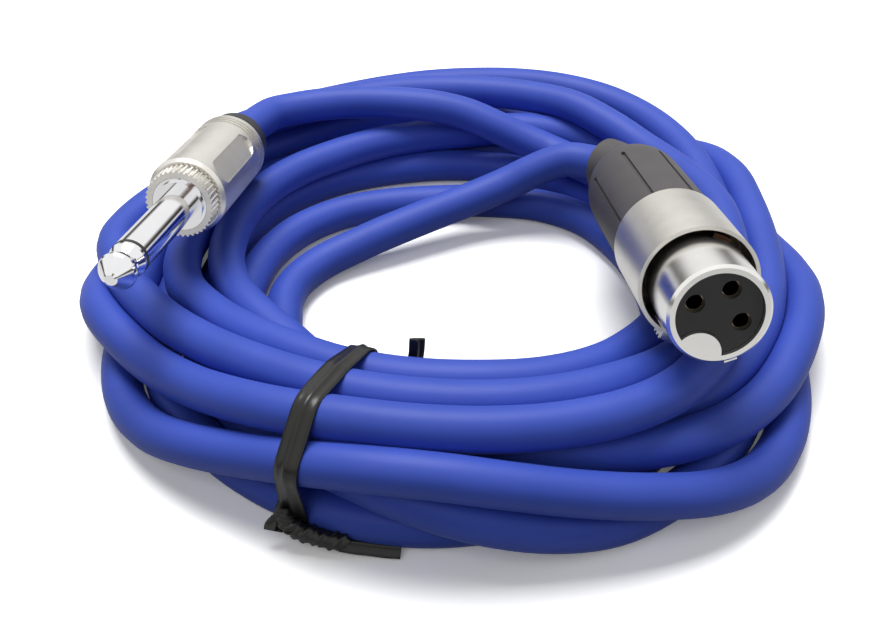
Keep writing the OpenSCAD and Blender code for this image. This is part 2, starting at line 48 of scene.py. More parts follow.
def makeCamera(c):
    data = bpy.data.cameras.new("camera")
    data.lens, data.sensor_width, data.clip_start = c["lens"], c["sensor"], 0.01
    cam = bpy.data.objects.new("camera", data)
    cam.location = Vector(c["place"]) * mm
    cam.rotation_euler = (math.radians(c["tilt"]), 0, 0)
    bpy.context.collection.objects.link(cam)
    bpy.context.scene.camera = cam


makeCamera(camera)


# places of the two connectors: local Z runs towards the tip, X down, Y to the right
def laid(pos, turn, rise):
    t, r = math.radians(turn), math.radians(rise)
    m = Matrix(((math.sin(r) * math.cos(t), math.sin(r) * math.sin(t), -math.cos(r)),
                (-math.sin(t), math.cos(t), 0),
                (math.cos(r) * math.cos(t), math.cos(r) * math.sin(t), math.sin(r)))).transposed().to_4x4()
    m.translation = Vector(pos)
    return m


atJack = laid((-52.95, -14.05, 28.13), -98, 10.5)  # shoulder of the plug
atXlr = laid((35.05, -53.05, 34.03), -86.5, 13)  # face of the nose


# the cord, in millimetres: one line from the jack's boot ring through the coil into the strain relief
cordSizes = dict(diameter=7.2, bevelSteps=6, splineSteps=5, jackExit=-35.5, jackInside=-33,
                 reliefFrom=-64.8, reliefBend=13.68, bendTo=72, bendStep=18, jackStraight=(-43.2, -40.2))
jackLeadPoints = """20.15,33.95,10.9 15.65,36.45,11.8 10.65,38.25,13.3 5.45,39.75,15.2 -.25,41.35,17
-6.65,42.35,18.2 -13.25,43.15,18.6 -20.05,43.65,18.7 -26.85,43.55,18.7 -33.25,42.45,18.7
-38.8,40.3,18.8 -43.6,36.6,19.3"""
xlrLeadPoints = """17.1,22.5,15.1 13,22.3,13.2 9.6,21.9,11.5 5.95,21.05,10.1 -.05,18.95,8.5 -6.05,16.1,7.6
-12.05,13,6.8 -18.05,9.9,5.9 -23.85,6.95,4.7 -29.1,3.6,3.9 -32.9,-.6,3.6 -35.4,-5.6,3.6
-36.3,-11.1,3.6 -35.9,-16.7,3.6"""
coilPoints = """-35,-25.7,3.6 -31.5,-36.2,3.6 -25.5,-45.3,3.6 -16.4,-51.3,3.6 -5.6,-53.2,3.6 5.3,-51.7,3.6
15.5,-47.7,3.6 24.4,-41.4,3.6 31.3,-32.8,3.6 35.1,-22.6,3.6 36,-11.7,3.6 34.5,-0.8,3.6 30.9,9.6,3.6 24.9,18.8,3.6
15.6,24.4,3.6 4.8,26.1,3.6 -6.2,26.1,3.6 -17.1,24.8,3.6 -27.5,21.3,3.6 -36,14.4,3.6 -41.5,4.9,3.6
-43.9,-5.8,3.6 -43.9,-16.8,3.6 -41.9,-27.5,4.6 -37.4,-37,7.6 -30.5,-45.2,10.1 -21.9,-51.8,11.4
-11.8,-56.1,12 -1,-58.3,11.9 9.9,-59.1,11.7 20.9,-58.5,11.5 31.6,-56.1,11.1 41.3,-51,10.6 49.2,-43.4,10.3
55.2,-34.2,10.6 59.7,-24.2,10.2 62.5,-13.7,8.5 63.1,-3,6.1 61.5,7.7,4.1 58.2,18.1,3.6 53.5,28,3.6
47.2,37.1,3.6 39.3,44.7,3.6 30,50.6,4 20,54.9,5.2 9.4,57.6,6.3 -1.5,58.6,7 -12.5,58,7.3 -23.2,55.7,7.3
-33.3,51.3,7.4 -42,44.7,7.7 -49.6,36.7,8.5 -56.4,28.2,9.8 -62.9,19.4,10.4 -68.1,9.7,10.6 -69.8,-1,11.7
-66.6,-11.4,12.7 -61,-20.8,13.2 -54.1,-29.3,14 -46.1,-36.8,15.2 -37.5,-43.5,16.7 -28.2,-49.2,18
-18.1,-53.4,18.8 -7.3,-55.6,19.2 3.6,-55.7,19.1 14.3,-53.4,18.6 24.1,-48.5,17.3 32.1,-41.4,14.8
38.3,-32.7,12.2 43,-22.9,10.8 46.7,-12.5,10.3 49.5,-1.9,10.4 50.9,9,10.4 50.6,20,10.9 49.1,30.8,11.4
45.8,41.3,11.6 40.5,50.9,11.7 32.9,58.8,11.9 23.1,63.8,12.2 12.3,65.6,12.6 1.3,65.4,12.8 -9.6,64.4,12.6
-20.4,62.7,11.8 -31,59.9,10.9 -41.1,55.5,10.4 -50.3,49.5,9.8 -58.2,42,8.8 -64.3,33,7.1 -67.7,22.8,4.9
-69.5,12.1,3.6 -71.2,1.2,4.1 -71.6,-9.5,6.4 -68.9,-19.7,9.3 -63.1,-28.9,10.6 -55.8,-37.1,11.1 -48,-44.6,13.1
-39.8,-51.3,16 -30.6,-56.8,18.5 -20.4,-60.5,20 -9.6,-62.6,20.4 1.4,-62.9,20.2 12.2,-61.4,19.8
22.5,-57.7,19.2 31.5,-51.5,18.5 38.4,-43,18.1 42.9,-33,17.7 45.9,-22.4,17.3 47.7,-11.5,17.4 48.2,-0.5,17.4
46.9,10.3,16.2 43.8,20.7,14.7 38.8,30.5,14.1 32.3,39.3,15 24.5,47,15.9 15.3,52.8,15.4 5,56.5,14.8
-6,57.6,14.6 -16.9,56.3,14.7 -27.4,53.2,14.6 -37.4,48.6,14.5 -46.1,42,14.9 -52.4,33.1,16.1 -56.5,22.9,16.3
-59.9,12.7,13.9 -62.9,3,9.7 -64.8,-7,5.7 -65,-17.8,3.7 -64,-28.7,3.6 -60.7,-39.2,3.8 -54.5,-48,5.7
-46.2,-54.5,8.6 -36.8,-59.4,11.4 -27.2,-64,14.5 -17.1,-67.6,16.8 -6.3,-69.5,17.2 4.5,-69.8,15.5
15.2,-69.1,13.1 25.8,-67.3,10.6 35.9,-63.9,7.8 44.5,-57.8,5 50.9,-49.1,3.6 54.9,-38.8,3.6 56.8,-28,3.6
57.4,-17,3.6 56.8,-6.1,3.6 55,4.8,3.6 51.7,15.3,3.6 46.8,25.1,3.6 40.6,34.1,4.6 32.7,41.3,7 22.8,45.3,9.5
12,46.4,10.5 1,45.9,9.9 -9.8,43.8,10 -20,39.7,10.5 -29.4,34.1,10.5 -37.8,27.1,10.5 -44.1,18.1,10.5
-47.4,7.6,10.4 -48,-3.3,10.1 -45.3,-13.9,10.4 -39.4,-23.2,10.7 -32.1,-31.4,10.5 -24.8,-39.6,9.5
-16.4,-46.5,9.3 -6.1,-50.4,10.2 4.7,-51.9,10.6 15.7,-51.9,10.4 26.5,-50,10.5 36.5,-45.4,10.8 44.5,-38,11.4
50.3,-28.7,11.8 54.1,-18.4,11.4 56.4,-7.7,10.9 57.6,3.3,10.5 57.9,14.3,10.4 57.3,25.2,10.2 54.9,35.8,8.2
49.6,44.9,5.3 41.8,52.3,3.7 32.4,58.2,3.6 22.3,62.4,3.6 11.7,65.1,3.6 0.7,66.3,3.6 -10.3,65.8,3.6
-21,63.5,3.6 -31.2,59.4,3.6 -40.6,53.7,3.6 -48.7,46.3,3.6 -55.2,37.4,3.6 -59.6,27.4,3.6 -61,16.5,3.6
-59.5,5.7,3.6 -58.2,-5.2,3.6 -58.1,-16.2,3.6 -57,-27.2,3.6 -53.3,-37.5,3.6 -47.1,-46.5,3.6 -39.3,-54.3,3.6
-30.3,-60.5,3.6 -20.2,-65,3.6 -9.4,-66.7,3.6 1.5,-65.8,3.6 12.1,-62.7,3.6 21.5,-57.1,3.6 29.5,-49.5,3.6
36,-40.7,3.6 40.7,-30.8,3.6 43,-20,3.6 43,-9.1,3.6 41.2,1.8,3.6 37.6,12.2,3.6 32.2,21.7,3.6 25.1,30.1,3.6
16.3,36.7,3.6 6.1,40.7,3.6 -4.8,41.6,3.6 -15.7,40.1,3.6 -26.1,36.7,3.6 -35.5,30.9,3.6 -42.6,22.7,3.6
-47.3,12.7,3.6 -50.1,2.1,3.6 -51.3,-8.8,3.6 -50.8,-19.8,3.6 -48.3,-30.5,3.6 -43.1,-40.1,4.2 -36.2,-48.4,6.3
-28.5,-55.9,8.5 -19.9,-62.6,10.1 -10.4,-68,10.3 0.1,-70.8,9 10.8,-70.3,6.6 21,-66.9,4.3 30.3,-61.1,3.6
38.3,-53.6,3.6 44.6,-44.6,3.6 48.5,-34.4,3.6 50.2,-23.5,3.6 50.3,-12.5,3.6 49,-1.6,3.6 46.4,9.1,3.6
42.2,19.2,3.6 36.2,28.4,3.6 28.6,36.4,3.6 19.8,43,3.6 9.9,47.6,3.6 -0.9,49.5,3.6 -11.9,48.8,3.6
-22.6,46.2,3.6 -32.5,41.7,4.2 -41.2,35,5.6 -47.9,26.5,7.2 -52.4,16.6,8.5 -55,6,9.6 -56,-4.9,10.7
-53.7,-15.5,11.6 -47.6,-24.6,12.7 -40,-32.4,14.1 -31.4,-39.1,15.5 -21.9,-44.5,16.3 -11.5,-47.8,16.9
-0.5,-48.9,17.2 10.3,-47.4,16.6 20.1,-42.7,15.4 27.9,-35.1,13.8 33.8,-26,11.9 37.8,-15.9,10.5 39.5,-5.1,10.1
38.6,5.9,10.4 35.3,16.3,10.5 29.4,25.6,10.5"""


def readPoints(text):
    return [Vector([float(v) for v in word.split(",")]) for word in text.split()]


def cordRoute(s):
    bend = [atXlr @ Vector((0, -s["reliefBend"] * (1 - math.cos(math.radians(a))),
                            s["reliefFrom"] - s["reliefBend"] * math.sin(math.radians(a))))
            for a in range(0, s["bendTo"] + 1, s["bendStep"])]
    jackEnd = [atJack @ Vector((0, 0, z)) for z in (*s["jackStraight"], s["jackExit"] - 1, s["jackInside"])]
    route = bend + readPoints(xlrLeadPoints) + readPoints(coilPoints) + readPoints(jackLeadPoints) + jackEnd
    return route[::-1]


def smoothLine(points, steps):
    # a smooth line through the points, steps pieces between each two
    out, ends = [], [2 * points[0] - points[1]] + points + [2 * points[-1] - points[-2]]
    for a, b, c, d in zip(ends, ends[1:], ends[2:], ends[3:]):
        for k in range(steps):
            t = k / steps
            out.append(0.5 * (2 * b + (c - a) * t + (2 * a - 5 * b + 4 * c - d) * t * t
                              + (3 * b - a - 3 * c + d) * t ** 3))
    return out + [points[-1]]


def nodeTree(owner):
    owner.use_nodes = True
    owner.node_tree.nodes.clear()
    return owner.node_tree


def addNode(tree, kind, links=None, **props):
    node = tree.nodes.new(kind)
    for key, value in props.items():
        setattr(node, key, value)
    for key, value in (links or {}).items():
        if isinstance(value, bpy.types.NodeSocket):
            tree.links.new(value, node.inputs[key])
        else:
            node.inputs[key].default_value = value
    return node


def newGroup(name, inputs, outputs):
    group = bpy.data.node_groups.new(name, "ShaderNodeTree")
    for label, kind, value in inputs:
        socket = group.interface.new_socket(name=label, in_out="INPUT", socket_type=kind)
        socket.default_value = value
    for label, kind in outputs:
        group.interface.new_socket(name=label, in_out="OUTPUT", socket_type=kind)
    return group, group.nodes.new("NodeGroupInput"), group.nodes.new("NodeGroupOutput")


def math2(tree, what, a, b, clamp=False):
    return addNode(tree, "ShaderNodeMath", {0: a, 1: b}, operation=what, use_clamp=clamp).outputs[0]


def grainGroup():
    # fine grain and broad unevenness as one height and one mask
    group, gin, gout = newGroup("surfaceGrain", [
        ("Fine Size", "NodeSocketFloat", 1500.0), ("Broad Size", "NodeSocketFloat", 120.0),
        ("Broad Share", "NodeSocketFloat", 0.3)],
        [("Height", "NodeSocketFloat"), ("Mask", "NodeSocketFloat")])
    place = addNode(group, "ShaderNodeTexCoord").outputs["Object"]
    fine = addNode(group, "ShaderNodeTexNoise", {"Vector": place, "Scale": gin.outputs["Fine Size"],
                                                "Detail": 3.0, "Roughness": 0.6}).outputs[0]
    broad = addNode(group, "ShaderNodeTexNoise", {"Vector": place, "Scale": gin.outputs["Broad Size"],
                                                 "Detail": 2.0}).outputs[0]
    both = addNode(group, "ShaderNodeMix", {0: gin.outputs["Broad Share"], 2: fine, 3: broad}).outputs[0]
    group.links.new(both, gout.inputs["Height"])
    group.links.new(broad, gout.inputs["Mask"])
    return group


def scuffGroup():
    # thin rubbed lines and specks, as a mask from 0 to 1
    group, gin, gout = newGroup("rubbedMarks", [
        ("Size", "NodeSocketFloat", 400.0), ("Amount", "NodeSocketFloat", 0.3),
        ("Stretch", "NodeSocketVector", (1.0, 1.0, 1.0))],
        [("Mask", "NodeSocketFloat")])
    place = addNode(group, "ShaderNodeTexCoord").outputs["Object"]
    scaled = addNode(group, "ShaderNodeVectorMath", {0: place, 1: gin.outputs["Stretch"]},
                     operation="MULTIPLY").outputs[0]
    marks = addNode(group, "ShaderNodeTexNoise", {"Vector": scaled, "Scale": gin.outputs["Size"],
                                                 "Detail": 6.0, "Roughness": 0.75}).outputs[0]
    none, reach, steep = 0.85, 0.5, 6.0
    level = math2(group, "SUBTRACT", none, math2(group, "MULTIPLY", gin.outputs["Amount"], reach))
    over = math2(group, "MULTIPLY", math2(group, "SUBTRACT", marks, level), steep, True)
    group.links.new(over, gout.inputs["Mask"])
    return group


def boreGroup():
    # 1 inside a bore of the given radius round a line, 0 outside
    group, gin, gout = newGroup("insideBore", [
        ("Origin", "NodeSocketVector", (0.0, 0.0, 0.0)), ("Axis", "NodeSocketVector", (0.0, 0.0, 1.0)),
        ("Radius", "NodeSocketFloat", 0.01), ("Edge", "NodeSocketFloat", 0.0002)],
        [("Mask", "NodeSocketFloat")])
    place = addNode(group, "ShaderNodeTexCoord").outputs["Object"]
    away = addNode(group, "ShaderNodeVectorMath", {0: place, 1: gin.outputs["Origin"]},
                   operation="SUBTRACT").outputs[0]
    along = addNode(group, "ShaderNodeVectorMath", {0: away, 1: gin.outputs["Axis"]},
                    operation="DOT_PRODUCT").outputs["Value"]
    part = addNode(group, "ShaderNodeVectorMath", {0: gin.outputs["Axis"], "Scale": along},
                   operation="SCALE").outputs[0]
    across = addNode(group, "ShaderNodeVectorMath", {0: away, 1: part}, operation="SUBTRACT").outputs[0]
    far = addNode(group, "ShaderNodeVectorMath", {0: across}, operation="LENGTH").outputs["Value"]
    inner = math2(group, "SUBTRACT", gin.outputs["Radius"], gin.outputs["Edge"])
    mask = addNode(group, "ShaderNodeMapRange", {0: far, 1: inner, 2: gin.outputs["Radius"], 3: 1.0,
                                                 4: 0.0}).outputs[0]
    group.links.new(mask, gout.inputs["Mask"])
    return group


surfaceGrain, rubbedMarks, insideBore = grainGroup(), scuffGroup(), boreGroup()


def useGroup(tree, group, **values):
    node = tree.nodes.new("ShaderNodeGroup")
    node.node_tree = group
    for key, value in values.items():
        node.inputs[key.replace("_", " ")].default_value = value
    return node


def makeFinish(name, f):
    mat = bpy.data.materials.new(name)
    tree = nodeTree(mat)
    shader = addNode(tree, "ShaderNodeBsdfPrincipled")
    addNode(tree, "ShaderNodeOutputMaterial", {"Surface": shader.outputs[0]})
    grain = useGroup(tree, surfaceGrain, Fine_Size=f["fine"], Broad_Size=f["broad"],
                     Broad_Share=f.get("broadShare", 0.3))
    marks = useGroup(tree, rubbedMarks, Size=f.get("markSize", 300), Amount=f.get("marks", 0.2),
                     Stretch=f.get("stretch", (1, 1, 1)))
    tone = addNode(tree, "ShaderNodeMix", {0: grain.outputs["Mask"], 6: (*f["dark"], 1), 7: (*f["light"], 1)},
                   data_type="RGBA").outputs[2]
    worn = math2(tree, "MULTIPLY", marks.outputs["Mask"], f.get("markShow", 0.5))
    tone = addNode(tree, "ShaderNodeMix", {0: worn, 6: tone, 7: (*f.get("rubbed", f["light"]), 1)},
                   data_type="RGBA").outputs[2]
    # painted shade: inside the bore the colour is mixed towards the dark bore tone
    if "bore" in f:
        bore = useGroup(tree, insideBore, Origin=f["bore"][0], Axis=f["bore"][1], Radius=f["bore"][2])
        tone = addNode(tree, "ShaderNodeMix", {0: bore.outputs["Mask"], 6: tone, 7: (*f["boreShadeTone"], 1)},
                       data_type="RGBA").outputs[2]
    tree.links.new(tone, shader.inputs["Base Color"])
    rough = addNode(tree, "ShaderNodeMapRange", {0: grain.outputs["Height"], 3: f["rough"][0],
                                                4: f["rough"][1]}).outputs[0]
    rough = math2(tree, "ADD", rough, math2(tree, "MULTIPLY", marks.outputs["Mask"], f.get("markRough", 0.1)), True)
    tree.links.new(rough, shader.inputs["Roughness"])
    bump = addNode(tree, "ShaderNodeBump", {"Height": grain.outputs["Height"], "Strength": f.get("bump", 0.3),
                                            "Distance": f.get("depth", 0.02) * mm}).outputs[0]
    tree.links.new(bump, shader.inputs["Normal"])
    shader.inputs["Metallic"].default_value = f.get("metal", 0)
    for key, value in f.get("fixed", {}).items():
        shader.inputs[key].default_value = value
    return mat


# colours and finishes; sizes of grain are cells per metre
jacketFinish = dict(dark=(0.032, 0.070, 0.41), light=(0.048, 0.094, 0.52), fine=2600, broad=90, rough=(0.46, 0.60),
                    bump=0.35, depth=0.02, marks=0.1, markShow=0.35, rubbed=(0.14, 0.19, 0.60),
                    fixed={"Specular IOR Level": 0.34, "Sheen Weight": 0.03, "Sheen Roughness": 0.4,
                           "Sheen Tint": (0.6, 0.65, 1, 1)})
plugFinish = dict(dark=(0.80, 0.80, 0.81), light=(0.90, 0.90, 0.91), fine=900, broad=200, rough=(0.06, 0.12),
                  metal=1, bump=0.03, marks=0.2, markRough=0.15, markShow=0.4, rubbed=(0.7, 0.7, 0.7))
satinNickelFinish = dict(dark=(0.70, 0.68, 0.63), light=(0.80, 0.78, 0.73), fine=3000, broad=300,
                         rough=(0.30, 0.42), metal=1, bump=0.15, depth=0.01, marks=0.25, rubbed=(0.8, 0.8, 0.78))
brightNickelFinish = dict(dark=(0.80, 0.79, 0.76), light=(0.89, 0.88, 0.85), fine=1500, broad=250,
                          rough=(0.16, 0.26), metal=1, bump=0.06, depth=0.01, marks=0.3, markRough=0.15,
                          rubbed=(0.9, 0.9, 0.88))
steelFinish = dict(dark=(0.70, 0.70, 0.70), light=(0.82, 0.82, 0.82), fine=2000, broad=300, rough=(0.18, 0.3),
                   metal=1, bump=0.1, depth=0.01, marks=0.3)
tinFinish = dict(dark=(0.60, 0.60, 0.59), light=(0.76, 0.76, 0.75), fine=1400, broad=400, rough=(0.32, 0.5),
                 metal=1, bump=0.25, marks=0.4)
giltFinish = dict(dark=(0.26, 0.21, 0.13), light=(0.40, 0.34, 0.23), fine=1500, broad=500, rough=(0.15, 0.28),
                  metal=1, bump=0.08, marks=0.3)
copperFinish = dict(dark=(0.60, 0.30, 0.17), light=(0.82, 0.48, 0.30), fine=2500, broad=700, rough=(0.25, 0.4),
                    metal=1, bump=0.5, depth=0.05, marks=0.2, stretch=(1, 1, 0.1))
blackPlasticFinish = dict(dark=(0.012, 0.012, 0.013), light=(0.022, 0.022, 0.023), fine=4000, broad=300,
                          rough=(0.4, 0.55), bump=0.4, depth=0.02, marks=0.2, markShow=0.3, rubbed=(0.06, 0.06, 0.06))
whitePlasticFinish = dict(dark=(0.70, 0.70, 0.66), light=(0.80, 0.80, 0.77), fine=2500, broad=300,
                          rough=(0.4, 0.55), bump=0.2, marks=0.2, rubbed=(0.6, 0.6, 0.55))
redPlasticFinish = dict(dark=(0.42, 0.02, 0.015), light=(0.55, 0.035, 0.025), fine=2500, broad=300,
                        rough=(0.35, 0.5), bump=0.2, marks=0.2)
bootFinish = dict(dark=(0.052, 0.048, 0.049), light=(0.078, 0.073, 0.074), fine=3500, broad=200, rough=(0.45, 0.6),
                  bump=0.5, depth=0.03, marks=0.25, markShow=0.35, rubbed=(0.12, 0.12, 0.12))
tieFinish = dict(dark=(0.005, 0.005, 0.005), light=(0.014, 0.013, 0.011), fine=1800, broad=260, rough=(0.24, 0.40),
                 bump=0.5, depth=0.06, broadShare=0.5, marks=0.3, rubbed=(0.05, 0.05, 0.045),
                 fixed={"Specular IOR Level": 0.4})

jacket = makeFinish("blueJacket", jacketFinish)
chromePlug = makeFinish("chromePlug", plugFinish)
satinNickel = makeFinish("satinNickel", satinNickelFinish)
xlrAxis = tuple((atXlr.to_3x3() @ Vector((0, 0, 1))).normalized())
shellShadeRadius = 9.2  # radius inside which painted shade darkens the shell's colour
# satin nickel for the shell, with painted shade inside the bore
shellFinish = dict(satinNickelFinish, bore=(tuple(atXlr.translation * mm), xlrAxis, shellShadeRadius * mm),
                   boreShadeTone=(0.07, 0.055, 0.045))
shellNickelShaded = makeFinish("shellNickelShaded", shellFinish)
brightNickel = makeFinish("brightNickel", brightNickelFinish)
latchSteel = makeFinish("latchSteel", steelFinish)
tinned = makeFinish("tinnedSteel", tinFinish)
gilt = makeFinish("giltContact", giltFinish)
copper = makeFinish("bareCopper", copperFinish)
blackPlastic = makeFinish("blackInsulator", blackPlasticFinish)
whitePlastic = makeFinish("whiteInsulator", whitePlasticFinish)
redPlastic = makeFinish("redInsulator", redPlasticFinish)
bootRubber = makeFinish("bootRubber", bootFinish)
tiePlastic = makeFinish("tiePlastic", tieFinish)
bySlot = dict(jacket=jacket, tie_plastic=tiePlastic, plug_chrome=chromePlug, satin_nickel=satinNickel,
              bright_nickel=brightNickel, latch_steel=latchSteel, tinned_steel=tinned, gilt_contact=gilt,
              copper=copper, black_insulator=blackPlastic, white_insulator=whitePlastic,
              red_insulator=redPlastic, boot_rubber=bootRubber)
# copper darkened as painted shade for the ground contact
shadedCopper = makeFinish("shadedCopper", dict(copperFinish, dark=(0.10, 0.055, 0.035), light=(0.18, 0.10, 0.065)))
byNode = dict(xlr_shell=shellNickelShaded, xlr_ground_contact=shadedCopper)
print("stage: finishes,", len(bySlot) + len(byNode))


def makeCord(s):
    route = cordRoute(s)
    data = bpy.data.curves.new("instrumentCord", "CURVE")
    data.dimensions, data.bevel_depth, data.bevel_resolution = "3D", s["diameter"] / 2 * mm, s["bevelSteps"]
    data.resolution_u, data.use_fill_caps = 1, True
    line = smoothLine(route, s["splineSteps"])
    spline = data.splines.new("POLY")
    spline.points.add(len(line) - 1)
    for point, at in zip(spline.points, line):
        point.co = (*(at * mm), 1)
    spline.use_smooth = True
    cord = bpy.data.objects.new("instrumentCord", data)
    bpy.context.collection.objects.link(cord)
    cord.data.materials.append(jacket)
    length = sum((b - a).length for a, b in zip(line, line[1:])) * mm
    return cord, line, length


cord, cordLine, cordLength = makeCord(cordSizes)
print("stage: cord, %.3f m" % cordLength)


# carried-over CAD nodes: finish by material slot, and softened edges
softEdge = dict(width=0.12, steps=2, angle=28)


def dressNodes():
    for row in frame["record"]["subparts"]:
        ob = nodes[row["node"]]
        ob.data.materials.clear()
        ob.data.materials.append(byNode.get(row["node"], bySlot[row["material_slot"]]))
        bevel = ob.modifiers.new("softEdge", "BEVEL")
        bevel.width, bevel.segments = softEdge["width"] * mm, softEdge["steps"]
        bevel.limit_method, bevel.angle_limit = "ANGLE", math.radians(softEdge["angle"])
        bevel.harden_normals = False
        for face in ob.data.polygons:
            face.use_smooth = True
        smooth = ob.modifiers.new("evenShade", "WEIGHTED_NORMAL")
        smooth.keep_sharp = True


dressNodes()
print("stage: nodes dressed")


def addPiece(name, verts, faces, material, body="root", slot=None, smooth=True):
    data = bpy.data.meshes.new(name)
    data.from_pydata([tuple(v * mm) for v in verts], [], faces)
    data.update()
    piece = bpy.data.objects.new(name, data)
    bpy.context.collection.objects.link(piece)
    data.materials.append(material)
    for face in data.polygons:
        face.use_smooth = smooth
    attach(piece, body)
    return piece


# twist tie: a flat plastic-coated wire round the bundle, its ends twisted round each other near the floor
coilCentre = Vector((-0.95, 0.95, 0))
tie = dict(inner=(46, 248), outer=(75, 247.6), reach=(-8, 45), ringSteps=36, width=4.1, thick=0.4, ridge=0.55,
           clear=0.34, floor=0.75, steps=150, lean=0.10, leanPace=0.13,
           knot=((-30.5, -66.5, 7.2), (-29.4, -67.4, 4.6), (-27.1, -68.1, 3.3), (-24.1, -68.7, 2.7),
                 (-20.7, -68.9, 2.2)),
           twist=dict(turns=2.3, radius=0.95, width=2.7, thick=0.45, ridge=0.6, steps=16, wander=0.7,
                      wanderPace=0.09, swell=0.35, swellPace=0.12))
tieEnds = dict(thick=0.4, ridge=0.7, steps=10, pieces=dict(
    Tail=dict(points=((-21.6, -68.8, 2.2), (-18.9, -68.8, 1.7), (-15.5, -69.1, 1.4), (-12.2, -69.4, 1.3)),
              out=(0, -0.5, 1), width=3.4),
    Stub=dict(points=((-30.2, -66.7, 5.6), (-31.0, -66.8, 4.6), (-31.7, -67.1, 4.0), (-31.9, -67.8, 3.4)),
              out=(0.2, -1, 0.3), width=3.0),
    Tab=dict(points=((-17.4, -41.4, 9.6), (-14.4, -41.9, 11), (-11.2, -42.3, 13.6), (-10.2, -42.4, 17),
                     (-9.9, -42.4, 20.9)),
             out=(0.1, -1, 0.1), width=2.6)))
ribbonForm = dict(swell=0.07, swellPace=0.09, crease=0.07, creasePace=0.3, creaseAcross=1.7, ridgeHalf=0.3,
                  section=[(-1, 0), (-0.97, 0.55), (-0.62, 0.62), (-0.3, 0.75), (-0.16, 1), (0, 1.12), (0.16, 1),
                           (0.3, 0.75), (0.62, 0.62), (0.97, 0.55), (1, 0), (0.6, -0.3), (0, -0.4), (-0.6, -0.3)])


def polar(r, a, z=0):
    return coilCentre + Vector((r * math.cos(math.radians(a)), r * math.sin(math.radians(a)), z))


def ribbon(path, ways, width, thick, ridge, closed):
    # a strip along path; ways gives the outward direction at each point
    form = ribbonForm
    verts, faces, n = [], [], len(path)
    for i, (p, out) in enumerate(zip(path, ways)):
        before = path[(i - 1) % n if closed else max(i - 1, 0)]
        after = path[(i + 1) % n if closed else min(i + 1, n - 1)]
        along = (after - before).normalized()
        side = along.cross(out).normalized()
        up = side.cross(along).normalized()
        swell = 1 + form["swell"] * noise.noise(Vector((i * form["swellPace"], 3.1, 0.4)))
        for x, y in form["section"]:
            lift = y * thick
            if y > 0:
                lift = y * (thick + (ridge - thick) * max(0, 1 - abs(x) / form["ridgeHalf"]))
            crease = 0
            if abs(x) > form["ridgeHalf"]:
                crease = form["crease"] * noise.noise(Vector((i * form["creasePace"], x * form["creaseAcross"], 9.2)))
            verts.append(p + side * (x * width / 2 * swell) + up * (lift + crease))
    m = len(form["section"])
    for i in range(n if closed else n - 1):
        a, b = i * m, (i + 1) % n * m
        for k in range(m):
            faces.append((a + k, a + (k + 1) % m, b + (k + 1) % m, b + k))
    if not closed:
        faces += [tuple(range(m))[::-1], tuple(range((n - 1) * m, n * m))]
    return verts, faces


def bundleLoop(t):
    # closed line round the strands that cross the tie's upright plane
    start, end = polar(*t["inner"]), polar(*t["outer"])
    across = (end - start).normalized()
    normal = Vector((-across.y, across.x, 0))
    cuts = []
    for a, b in zip(cordLine, cordLine[1:]):
        da, db = (a - start).dot(normal), (b - start).dot(normal)
        if da * db <= 0 and da != db:
            p = a + (b - a) * (da / (da - db))
            s = (p - start).dot(across)
            if t["reach"][0] < s < t["reach"][1]:
                cuts.append((s, p.z))
    grow = cordSizes["diameter"] / 2 + t["clear"]
    half = t["ringSteps"]
    ring = convexRing([(s + grow * math.cos(k * math.pi / half), z + grow * math.sin(k * math.pi / half))
                       for s, z in cuts for k in range(2 * half)])
    at = [start + across * s + Vector((0, 0, max(z, t["floor"]))) for s, z in evenRing(ring, t["steps"])]
    middle = sum(at, Vector()) / len(at)
    return at, [(p - middle) for p in at], normal


def convexRing(points):
    # the points' outline without dents, as a closed ring
    points = sorted(set((round(x, 5), round(y, 5)) for x, y in points))

    def half(ordered):
        side = []
        for p in ordered:
            while len(side) > 1 and ((side[-1][0] - side[-2][0]) * (p[1] - side[-2][1])
                                     - (side[-1][1] - side[-2][1]) * (p[0] - side[-2][0])) <= 0:
                side.pop()
            side.append(p)
        return side[:-1]
    return half(points) + half(points[::-1])


def evenRing(ring, steps):
    # evenly spaced points along a closed ring
    runs = [math.dist(a, b) for a, b in zip(ring, ring[1:] + ring[:1])]
    total, out = sum(runs), []
    for k in range(steps):
        far, i = total * k / steps, 0
        while far > runs[i]:
            far -= runs[i]
            i += 1
        a, b = ring[i], ring[(i + 1) % len(ring)]
        out.append((a[0] + (b[0] - a[0]) * far / runs[i], a[1] + (b[1] - a[1]) * far / runs[i]))
    return out


